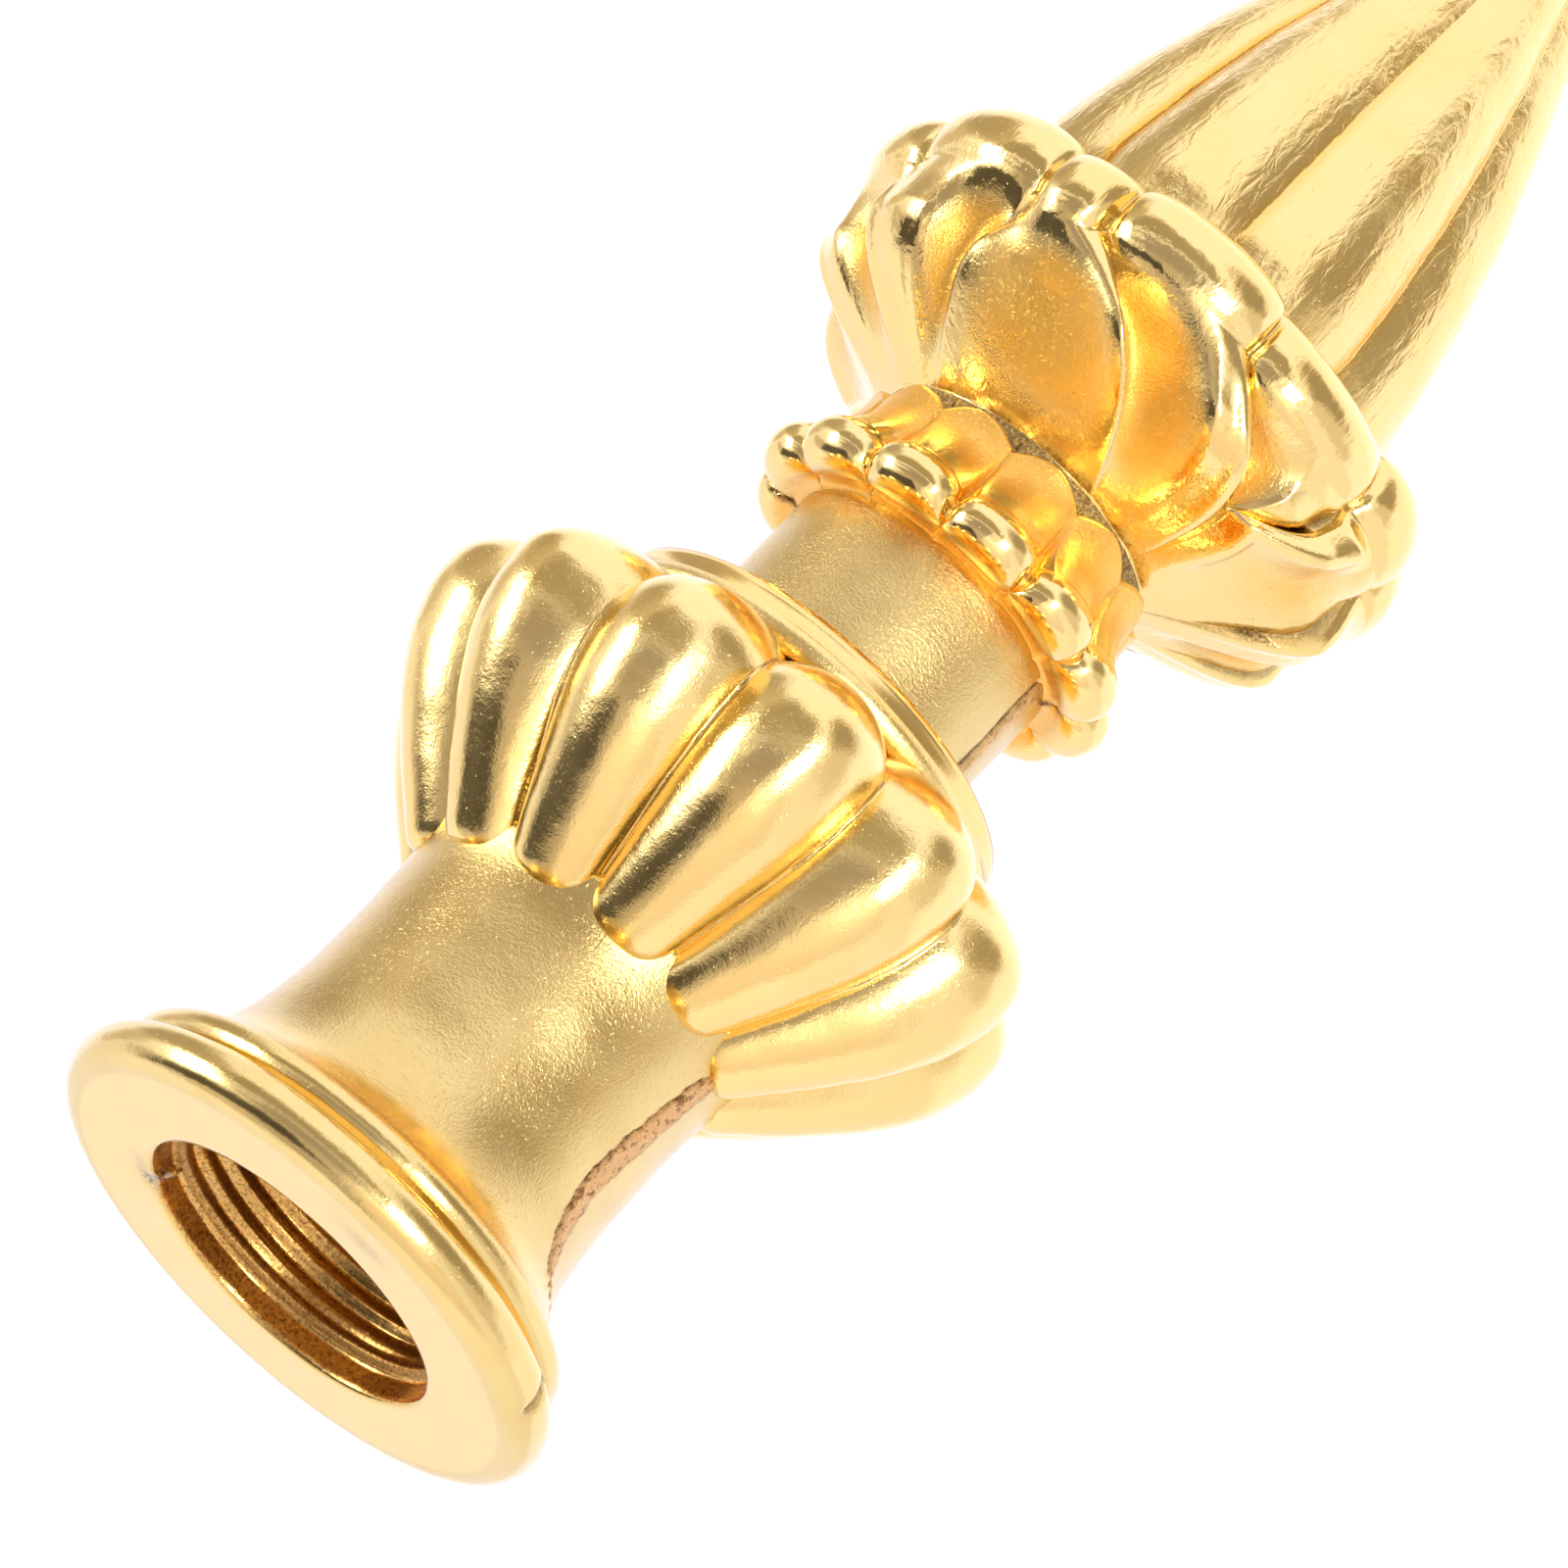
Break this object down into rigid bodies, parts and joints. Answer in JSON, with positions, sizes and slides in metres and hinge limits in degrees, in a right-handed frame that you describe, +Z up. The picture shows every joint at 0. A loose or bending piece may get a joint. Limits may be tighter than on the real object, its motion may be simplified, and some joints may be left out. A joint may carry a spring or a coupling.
{
  "type": "lamp shade finial",
  "caption": "Cast gold-plated lamp shade finial: a threaded foot, a bulb of lobes, a leaf collar, a cup of petals and a fluted bud.",
  "frame": {"origin": "centre of the flat underside of the foot", "axes": "+Z up along the finial's axis, from the foot to the tip; +X in the mould's parting plane"},
  "size_m": [0.0212, 0.0212, 0.0615],
  "materials": {
    "gold_plate": "polished gold plate on the lobes, petals and bud, satin on the waist and stem"
  },
  "bodies": {
    "root": {"finial": "gold_plate"}
  },
  "joints": []
}
